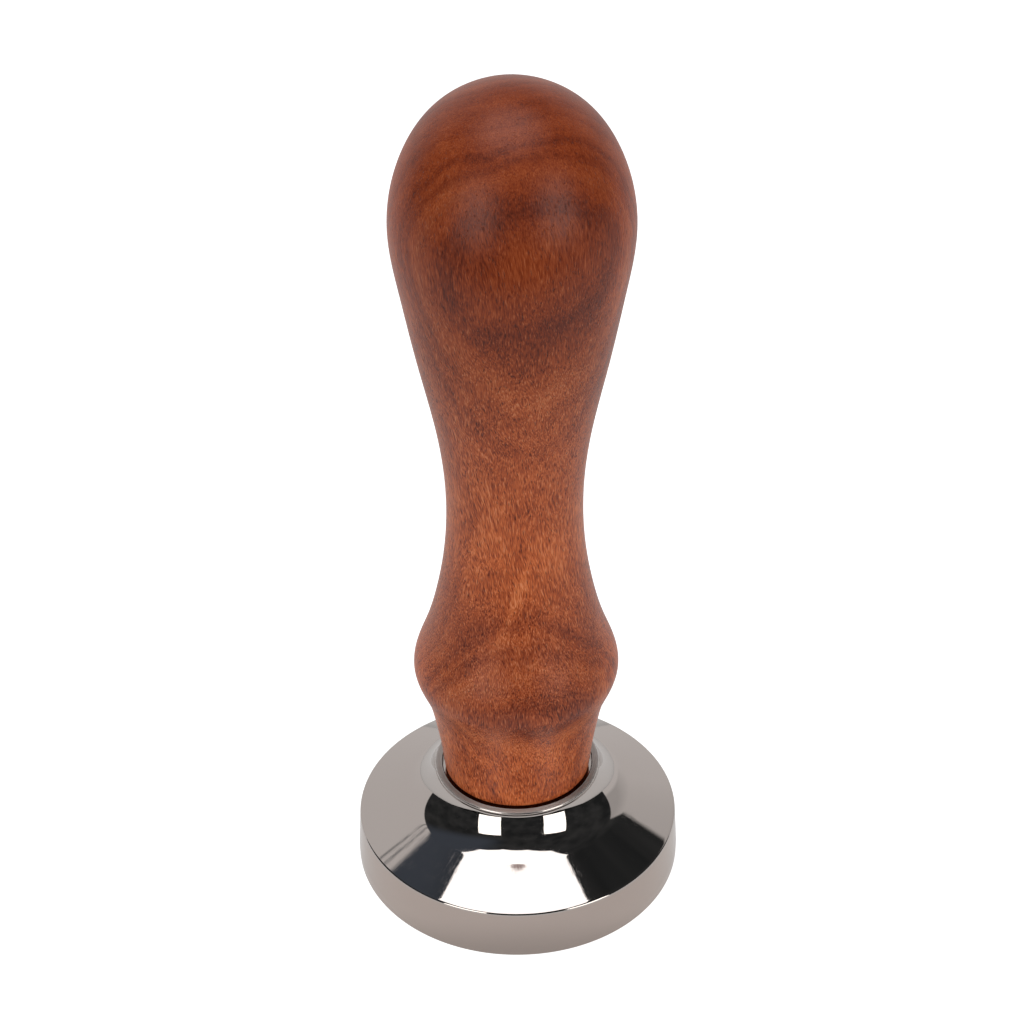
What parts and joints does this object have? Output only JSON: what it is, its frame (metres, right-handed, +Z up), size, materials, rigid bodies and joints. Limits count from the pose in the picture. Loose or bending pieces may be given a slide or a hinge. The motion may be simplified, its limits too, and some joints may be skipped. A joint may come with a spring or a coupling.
{
  "type": "espresso tamper",
  "caption": "Hand tamper for espresso: turned hardwood handle with bulb, waist and bead, screwed to a polished stainless steel base that presses ground coffee flat.",
  "frame": {"origin": "centre of the tamping face, the flat underside that it stands on", "axes": "+Z up the axis of the tamper, from the tamping face towards the crown of the handle; it is turned about Z, so X and Y are free"},
  "size_m": [0.058, 0.058, 0.1422],
  "materials": {
    "base_steel": "mirror-polished stainless steel, fine straight turning marks on the wall",
    "stud_steel": "plain machined stainless steel",
    "washer_steel": "stamped and tumbled stainless steel",
    "insert_brass": "machined brass",
    "handle_wood": "oiled reddish-brown hardwood, fine pores, satin"
  },
  "bodies": {
    "base": {"base": "base_steel", "stud": "stud_steel"},
    "washer": {"washer": "washer_steel"},
    "handle": {"handle": "handle_wood", "threaded_insert": "insert_brass"}
  },
  "joints": [
    {"name": "handle_turn", "type": "hinge", "parent": "base", "child": "washer", "pos_m": [0, 0, 0.019], "axis": [0, 0, 1], "range_deg": [0, 3240]},
    {"name": "handle_lift", "type": "slide", "parent": "washer", "child": "handle", "axis": [0, 0, 1], "range_m": [0, 0.01125]}
  ],
  "couplings": [
    {"joint": "handle_lift", "follows": "handle_turn", "m_per_rad": 0.00019894}
  ]
}
